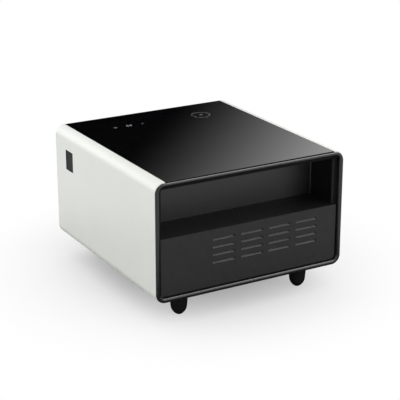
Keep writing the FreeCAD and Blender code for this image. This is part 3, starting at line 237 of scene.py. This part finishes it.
# One finish for each material slot of the record, under the slot's name.
FINISHES = {finish.name: finish for finish in (
    painted("white_panel", (0.812, 0.829, 0.782), roughness=0.34),
    black_glass("black_glass"),
    moulded("bezel_black", (0.01, 0.01, 0.0102), roughness=0.15,
            grain_size=0.0009, grain_depth=0.000005, specular=0.42),
    moulded("face_black", (0.0248, 0.0248, 0.0253), roughness=0.42,
            grain_size=0.0007, grain_depth=0.00003, specular=0.10),
    moulded("shelf_black", (0.0025, 0.0025, 0.0026), roughness=0.45,
            grain_size=0.0008, grain_depth=0.00003, specular=0.50),
    moulded("foot_black", (0.01, 0.01, 0.0102), roughness=0.45,
            grain_size=0.0010, grain_depth=0.00002, specular=0.03),
    moulded("outlet_grey", (0.018, 0.018, 0.0184), roughness=0.50,
            grain_size=0.0006, grain_depth=0.00004, specular=0.12),
    # The louvre blades: the face's black plastic coloured paler, a painted highlight for the light their
    # sloped faces catch.
    moulded("louvre_grey", (0.125, 0.125, 0.127), roughness=0.45,
            grain_size=0.0006, grain_depth=0.00003),
    moulded("liner_white", (0.80, 0.81, 0.81), roughness=0.38,
            grain_size=0.0025, grain_depth=0.00002, spread=0.012),
    rigid_foam("foam"),
    frosted("lamp_lens"),
    rubber("gasket_grey", (0.32, 0.33, 0.34)),
    rubber("rubber_black", (0.014, 0.014, 0.014)),
    brushed("zinc_steel", (0.58, 0.59, 0.60), roughness=0.36, stretch=(1, 12, 1)),
    brushed("deck_sheet", (0.66, 0.67, 0.68), roughness=0.40, stretch=(18, 1, 1)),
    brushed("cold_plate", (0.72, 0.73, 0.74), roughness=0.34, stretch=(14, 1, 1)),
    brushed("condenser_metal", (0.58, 0.59, 0.60), roughness=0.42, stretch=(1, 1, 10)),
    painted("compressor_black", (0.014, 0.014, 0.015), roughness=0.30),
    drawn_copper("copper_tube", (0.72, 0.40, 0.26)),
    moulded("fan_black", (0.020, 0.020, 0.020), roughness=0.50, grain_size=0.0010, grain_depth=0.00004),
    moulded("control_grey", (0.24, 0.25, 0.26), roughness=0.50, grain_size=0.0010, grain_depth=0.00005),
    circuit_board("board_green"),
    drawn_copper("coil_copper", (0.66, 0.34, 0.20)),
)}


def dress_nodes():
    """Each CAD node takes the finish of the slot that its record names."""
    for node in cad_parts.values():
        for slot in node.material_slots:
            slot.material = FINISHES[slot.name].material


def make_piece(name, mesh, finish, body):
    """A piece of the object, drawn in a bmesh, that moves with a CAD body."""
    bmesh.ops.recalc_face_normals(mesh, faces=mesh.faces)
    data = bpy.data.meshes.new(name)
    mesh.to_mesh(data)
    mesh.free()
    data.materials.append(finish.material)
    piece = bpy.data.objects.new(name, data)
    bpy.context.scene.collection.objects.link(piece)
    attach(piece, body)


# Angles of the marks are in degrees.
FULL_TURN = 360
QUARTER_TURN = 90

# How far a print stands on the glass that carries it, and the widths of its lines.
PRINT_THICKNESS = 0.00005
RING_LINE = 0.0004
POWER_LINE = 0.0007
FIGURE_LINE = 0.0019
LAMP_LINE = 0.0003

# The charging ring, with three waves in its middle.
RING_CENTRE = (0.1448, 0.216)
RING_RADIUS = 0.0308
WAVE_DROP = 0.004
WAVE_RADII = (0.003, 0.006, 0.009)
WAVE_START = 35
WAVE_END = 145

# The row of touch marks: power, two figures and lamp.
ROW = 0.2215
POWER_X = -0.169
POWER_RADIUS = 0.0045
POWER_START = 125
POWER_END = 415
POWER_STEM = 0.0045
POWER_STEM_RISE = 0.0036
FIGURES = ((-0.1257, "afgcd"), (-0.1151, "abcdef"))
FIGURE_WIDTH = 0.0050
FIGURE_HEIGHT = 0.0085
FIGURE_DROP = 0.0012
LAMP_X = -0.0715
LAMP_RADIUS = 0.0017
RAY_RADIUS = 0.0036
RAY_LENGTH = 0.0014
RAY_ANGLES = range(0, FULL_TURN, 60)

# How much shorter a segment of a figure is than the side it lies on.
SEGMENT_CUT = 1.2 * FIGURE_LINE


def turned(degrees):
    """A turn in the plane of the glass."""
    return Matrix.Rotation(math.radians(degrees), 2)


def add_quad(mesh, corners, level):
    """A four-sided print, given by its corners in turn, with its thickness."""
    low = [mesh.verts.new((x, y, level)) for x, y in corners]
    high = [mesh.verts.new((x, y, level + PRINT_THICKNESS)) for x, y in corners]
    mesh.faces.new(high)
    mesh.faces.new(low[::-1])
    for first in range(len(corners)):
        second = (first + 1) % len(corners)
        mesh.faces.new((low[first], low[second], high[second], high[first]))


def add_curve(mesh, centre, radius, width, start, end, level, steps):
    """A printed arc or ring, angles in degrees."""
    angles = [start + (end - start) * step / steps for step in range(steps + 1)]
    outer, inner = [[Vector(centre) + turned(angle) @ Vector((reach, 0)) for angle in angles]
                    for reach in (radius + width / 2, radius - width / 2)]
    for step in range(steps):
        add_quad(mesh, (outer[step], outer[step + 1], inner[step + 1], inner[step]), level)


def add_bar(mesh, centre, length, width, level, turn):
    """A printed bar with straight ends, turned by degrees."""
    corners = [Vector((x * length / 2, y * width / 2)) for x, y in ((-1, -1), (1, -1), (1, 1), (-1, 1))]
    add_quad(mesh, [Vector(centre) + turned(turn) @ corner for corner in corners], level)


def add_figure(mesh, centre, lit, level):
    """One seven-segment figure. lit names the segments a to g that are shown."""
    side = FIGURE_WIDTH / 2
    half = FIGURE_HEIGHT / 2
    flat_bar = FIGURE_WIDTH, 0
    upright_bar = half, QUARTER_TURN
    places = {
        "a": ((0, half), flat_bar), "g": ((0, 0), flat_bar), "d": ((0, -half), flat_bar),
        "b": ((side, half / 2), upright_bar), "c": ((side, -half / 2), upright_bar),
        "f": ((-side, half / 2), upright_bar), "e": ((-side, -half / 2), upright_bar),
    }
    for segment in lit:
        offset, (length, turn) = places[segment]
        add_bar(mesh, Vector(centre) + Vector(offset), length - SEGMENT_CUT, FIGURE_LINE, level, turn)


def add_charging_ring(mesh, level):
    """The ring with its waves."""
    add_curve(mesh, RING_CENTRE, RING_RADIUS, RING_LINE, 0, FULL_TURN, level, steps=96)
    waves = (RING_CENTRE[0], RING_CENTRE[1] - WAVE_DROP)
    for radius in WAVE_RADII:
        add_curve(mesh, waves, radius, RING_LINE, WAVE_START, WAVE_END, level, steps=16)


def add_power_mark(mesh, level):
    """An open ring with a stem in its gap."""
    add_curve(mesh, (POWER_X, ROW), POWER_RADIUS, POWER_LINE, POWER_START, POWER_END, level, steps=32)
    add_bar(mesh, (POWER_X, ROW + POWER_STEM_RISE), POWER_STEM, POWER_LINE, level, QUARTER_TURN)


def add_lamp_mark(mesh, level):
    """A small ring with rays round it."""
    centre = Vector((LAMP_X, ROW))
    add_curve(mesh, centre, LAMP_RADIUS, LAMP_LINE, 0, FULL_TURN, level, steps=24)
    for angle in RAY_ANGLES:
        middle = centre + turned(angle) @ Vector((RAY_RADIUS, 0))
        add_bar(mesh, middle, RAY_LENGTH, LAMP_LINE, level, angle)


def glass_marks():
    """The touch marks and the charging ring on the glass."""
    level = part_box("top_glass")[1].z
    mesh = bmesh.new()
    add_charging_ring(mesh, level)
    add_power_mark(mesh, level)
    for x, lit in FIGURES:
        add_figure(mesh, (x, ROW - FIGURE_DROP), lit, level)
    add_lamp_mark(mesh, level)
    ink = printed("mark_white", (0.80, 0.81, 0.82))
    make_piece("glass_marks", mesh, ink, "cabinet")


# The seal's section in millimetres, back and up from the upper front edge of the glass.
SEAL_SECTION = ((-0.85, -3.05), (-0.5, -1.8), (-0.15, -0.8), (0.3, -0.3), (1.35, 0.0),
                (1.4, -0.1), (0.1, -1.0), (0.1, -3.05))
SEAL_END_GAP = 0.0004

# The lip's section in millimetres, inward from its rim and back from the front of the shelf's trim.
LIP_SECTION = ((0.2, -4.5), (8.4, -4.5), (9.0, -4.2), (9.2, -3.7), (9.0, -3.2), (8.4, -2.9), (0.2, -2.9))
LIP_PAST_SIDES = 0.004
LIP_PAST_TOP = 0.002
LIP_FOOT_GAP = 0.0005
LIP_CORNER = 0.016
LIP_CORNER_STEPS = 12


def add_strip(mesh, rings):
    """A closed strip through rings of points, with its two ends capped."""
    loops = [[mesh.verts.new(point) for point in ring] for ring in rings]
    mesh.faces.new(loops[0])
    mesh.faces.new(loops[-1][::-1])
    for ring, following in zip(loops, loops[1:]):
        for corner in range(len(ring)):
            after = (corner + 1) % len(ring)
            mesh.faces.new((ring[corner], following[corner], following[after], ring[after]))


def glass_seal():
    """The seal along the front edge of the glass. It is near black and almost without gloss, so it also
    stands in for the shadow gap between the glass and the bezel: partly painted shade.
    """
    low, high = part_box("top_glass")
    reach = high.x - SEAL_END_GAP
    mesh = bmesh.new()
    add_strip(mesh, [[(x, low.y + back * MILLIMETRE, high.z + up * MILLIMETRE) for back, up in SEAL_SECTION]
                     for x in (-reach, reach)])
    seal = rubber("seal_black_painted_shade", (0.004, 0.004, 0.0041), specular=0.05)
    make_piece("glass_seal", mesh, seal, "cabinet")


def lip_rim(half_width, base, top):
    """Points in x and z up, over and down the shelf's mouth, each with the way into the mouth."""
    rim = [(Vector((-half_width, base)), Vector((1, 0)))]
    for side, first in ((-1, 180), (1, 90)):
        centre = Vector((side * (half_width - LIP_CORNER), top - LIP_CORNER))
        for step in range(LIP_CORNER_STEPS + 1):
            angle = math.radians(first - QUARTER_TURN * step / LIP_CORNER_STEPS)
            away = Vector((math.cos(angle), math.sin(angle)))
            rim.append((centre + LIP_CORNER * away, -away))
    rim.append((Vector((half_width, base)), Vector((-1, 0))))
    return rim


def shelf_lip():
    """The rubber lip in front of the shelf's trim, round three sides of the mouth. It is near black and
    almost without gloss, so it also stands in for the shade under the bead: partly painted shade.
    """
    low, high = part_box("shelf_trim")
    rings = []
    for place, inward in lip_rim(high.x + LIP_PAST_SIDES, low.z + LIP_FOOT_GAP, high.z + LIP_PAST_TOP):
        ring = []
        for across, back in LIP_SECTION:
            spot = place + inward * across * MILLIMETRE
            ring.append((spot.x, low.y + back * MILLIMETRE, spot.y))
        rings.append(ring)
    mesh = bmesh.new()
    add_strip(mesh, rings)
    lip = rubber("lip_black_painted_shade", (0.005, 0.005, 0.0051), specular=0.08)
    make_piece("shelf_lip", mesh, lip, "cabinet")


def aim(direction):
    """The rotation of a lamp or camera that looks along a direction."""
    return direction.to_track_quat("-Z", "Y").to_euler()


def softbox(name, place, target, width, height, radiance):
    """A rectangular lamp, whose power follows from how bright its face is."""
    light = bpy.data.lights.new(name, "AREA")
    light.shape = "RECTANGLE"
    light.size = width
    light.size_y = height
    light.energy = radiance * math.pi * width * height
    lamp = bpy.data.objects.new(name, light)
    lamp.location = place
    lamp.rotation_euler = aim(Vector(target) - Vector(place))
    bpy.context.scene.collection.objects.link(lamp)
    return lamp


def link_light(lamp, nodes, state):
    """The lamp lights only these nodes, INCLUDE, or all but these, EXCLUDE."""
    receivers = bpy.data.collections.new(lamp.name + "_receivers")
    for node in nodes:
        receivers.objects.link(node)
    for receiver in receivers.collection_objects:
        receiver.light_linking.link_state = state
    lamp.light_linking.receiver_collection = receivers


def light_studio():
    """Two softboxes light the object and two show only in its gloss. The glass mirrors none of them."""
    top = softbox("top_softbox", place=(-0.7, 0.5, 2.70), target=(0, 0, 0.3),
                  width=2.0, height=2.0, radiance=0.9)
    front = softbox("front_softbox", place=(1.55, -3.2, 0.85), target=(0, 0, 0.3),
                    width=2.4, height=1.2, radiance=2.66)
    bezel = softbox("line_softbox", place=(1.35, -0.75, 2.50), target=(0, -0.2, 0.3),
                    width=2.2, height=2.2, radiance=5.73)
    shoulder = softbox("shoulder_softbox", place=(-1.65, 2.60, 1.25), target=(-0.32, 0, 0.44),
                       width=2.4, height=1.8, radiance=1.65)
    for lamp in (bezel, shoulder):
        lamp.visible_diffuse = False
    for lamp in (top, front, bezel):
        link_light(lamp, [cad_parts["top_glass"]], "EXCLUDE")
    white = FINISHES["white_panel"].material
    panels = [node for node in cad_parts.values() if node.active_material == white]
    link_light(shoulder, panels, "INCLUDE")


def seen_by(tree, *rays):
    """1 for rays of the named kinds, 0 for all others."""
    path = tree.nodes.new("ShaderNodeLightPath")
    total = path.outputs[rays[0]]
    for ray in rays[1:]:
        join = tree.nodes.new("ShaderNodeMath")
        join.operation = "MAXIMUM"
        tree.links.new(total, join.inputs[0])
        tree.links.new(path.outputs[ray], join.inputs[1])
        total = join.outputs[0]
    return total


def make_world():
    """Even light from all sides, and plain white where the world itself is seen or mirrored."""
    world = bpy.data.worlds.new("studio")
    bpy.context.scene.world = world
    world.use_nodes = True
    tree = world.node_tree
    light = tree.nodes["Background"]
    white = tree.nodes.new("ShaderNodeBackground")
    for background, strength in ((light, AMBIENT), (white, WHITE)):
        background.inputs["Color"].default_value = (1.0, 1.0, 1.0, 1.0)
        background.inputs["Strength"].default_value = strength
    mix = tree.nodes.new("ShaderNodeMixShader")
    seen = seen_by(tree, "Is Camera Ray", "Is Glossy Ray", "Is Transmission Ray")
    tree.links.new(seen, mix.inputs["Fac"])
    tree.links.new(light.outputs["Background"], mix.inputs[1])
    tree.links.new(white.outputs["Background"], mix.inputs[2])
    tree.links.new(mix.outputs["Shader"], tree.nodes["World Output"].inputs["Surface"])


def stage_plane(name, half):
    """A square of the stage, level and round the origin."""
    mesh = bpy.data.meshes.new(name)
    corners = [(x * half, y * half, 0) for x, y in ((-1, -1), (1, -1), (1, 1), (-1, 1))]
    mesh.from_pydata(corners, [], [(0, 1, 2, 3)])
    plane = bpy.data.objects.new(name, mesh)
    bpy.context.scene.collection.objects.link(plane)
    return plane


# The floor: the middle of its shadow, the share of plain white that is mixed in there, and the distances
# from there between which that share grows to all.
FLOOR_HALF = 14
SHADOW_PLACE = (0.019, 0.055, 0)
SHADOW_NEAR = 0.10
SHADOW_FAR = 0.82
SHADOW_SHARE = 0.25

# Gloss sees the floor black up to the first distance from there, a painted shadow near the object, and
# white from the second on.
PAINTED_GLOSS_SHADOW_NEAR = 0.55
PAINTED_GLOSS_SHADOW_FAR = 1.0


def make_floor():
    """A pale floor that takes the shadow near the object and turns white away from it. Gloss sees a painted
    shadow on it near the object.
    """
    floor = stage_plane("floor", FLOOR_HALF)
    finish = Finish("floor", colour=(0.80, 0.80, 0.80), roughness=0.9, sockets={"Specular IOR Level": 0.0})
    finish.mottle(finish.noise(size=0.6), spread=0.004)
    away = finish.node("VectorMath", {0: finish.place, 1: SHADOW_PLACE}, operation="DISTANCE")
    reach = away.outputs["Value"]
    share = finish.faded(reach, SHADOW_NEAR, SHADOW_FAR, SHADOW_SHARE, 1.0)
    # Painted shadow: gloss sees the floor black near the object and white further off.
    painted_gloss_shadow = finish.faded(reach, PAINTED_GLOSS_SHADOW_NEAR, PAINTED_GLOSS_SHADOW_FAR, 0.0, WHITE)
    direct = seen_by(finish.tree, "Is Camera Ray", "Is Transmission Ray")
    gloss = seen_by(finish.tree, "Is Glossy Ray")
    level = finish.node("Mix", {"Factor": gloss, "A": WHITE, "B": painted_gloss_shadow}).outputs["Result"]
    white = finish.node("Emission", {"Strength": level}).outputs["Emission"]
    shown = finish.node("Math", {0: share, 1: direct}, operation="MULTIPLY").outputs[0]
    part = finish.node("Math", {0: shown, 1: gloss}, operation="MAXIMUM").outputs[0]
    mix = finish.node("MixShader", {"Fac": part, 1: finish.shader.outputs["BSDF"], 2: white})
    finish.surface(mix.outputs["Shader"])
    floor.data.materials.append(finish.material)


# The card that the glass mirrors: the way to it from the middle of the glass, a level direction across
# that way, and how far it is moved along its own length.
CARD_HALF = 1.75
CARD_OUT = Vector((0.476, 0.831, 0.288))
CARD_SIDE = Vector((0.868, -0.497, 0.0))
CARD_DISTANCE = 3.5
CARD_SHIFT = 0.02

# Where along the card its light starts, how fast that grows, and between which distances from its
# middle it turns white.
SWEEP_START = -0.237
SWEEP_STRENGTH = 2.0
RIM_NEAR = 0.82
RIM_FAR = 1.70


def make_sweep_card():
    """A card seen only in gloss: black, brighter along its length, and white like the room at its rim."""
    card = stage_plane("sweep_card", CARD_HALF)
    along = (CARD_SIDE + CARD_SIDE.cross(CARD_OUT)).normalized()
    card.matrix_world = Matrix((along, CARD_OUT.cross(along), CARD_OUT)).transposed().to_4x4()
    glass = Vector((0, 0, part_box("top_glass")[1].z))
    card.location = glass + CARD_DISTANCE * CARD_OUT + CARD_SHIFT * along
    card.visible_camera = False
    card.visible_diffuse = False
    card.visible_shadow = False
    finish = Finish("sweep_card", colour=(0, 0, 0), roughness=1.0)
    shifted = finish.node("Mapping", {"Vector": finish.place, "Location": (-SWEEP_START, 0, 0)})
    sweep = finish.node("TexGradient", {"Vector": shifted.outputs["Vector"]}, gradient_type="QUADRATIC")
    grown = {0: sweep.outputs["Fac"], 1: SWEEP_STRENGTH}
    level = finish.node("Math", grown, operation="MULTIPLY").outputs[0]
    reach = finish.node("VectorMath", {0: finish.place}, operation="LENGTH").outputs["Value"]
    rim = finish.faded(reach, RIM_NEAR, RIM_FAR, 0.0, 1.0)
    blended = finish.node("Mix", {"Factor": rim, "A": level, "B": WHITE}).outputs["Result"]
    finish.surface(finish.node("Emission", {"Strength": blended}).outputs["Emission"])
    card.data.materials.append(finish.material)


def make_camera():
    """The camera of the photograph."""
    azimuth = math.radians(CAMERA_AZIMUTH)
    elevation = math.radians(CAMERA_ELEVATION)
    level = math.cos(elevation)
    back = Vector((math.sin(azimuth) * level, -math.cos(azimuth) * level, math.sin(elevation)))
    camera = bpy.data.objects.new("camera", bpy.data.cameras.new("camera"))
    camera.data.sensor_width = CAMERA_SENSOR
    camera.data.lens = CAMERA_LENS
    camera.location = CAMERA_TARGET + back * CAMERA_DISTANCE
    camera.rotation_euler = aim(-back)
    bpy.context.scene.collection.objects.link(camera)
    bpy.context.scene.camera = camera


make_camera()
dress_nodes()
glass_marks()
glass_seal()
shelf_lip()
make_world()
make_floor()
make_sweep_card()
light_studio()
bpy.context.scene.view_settings.view_transform = "Standard"
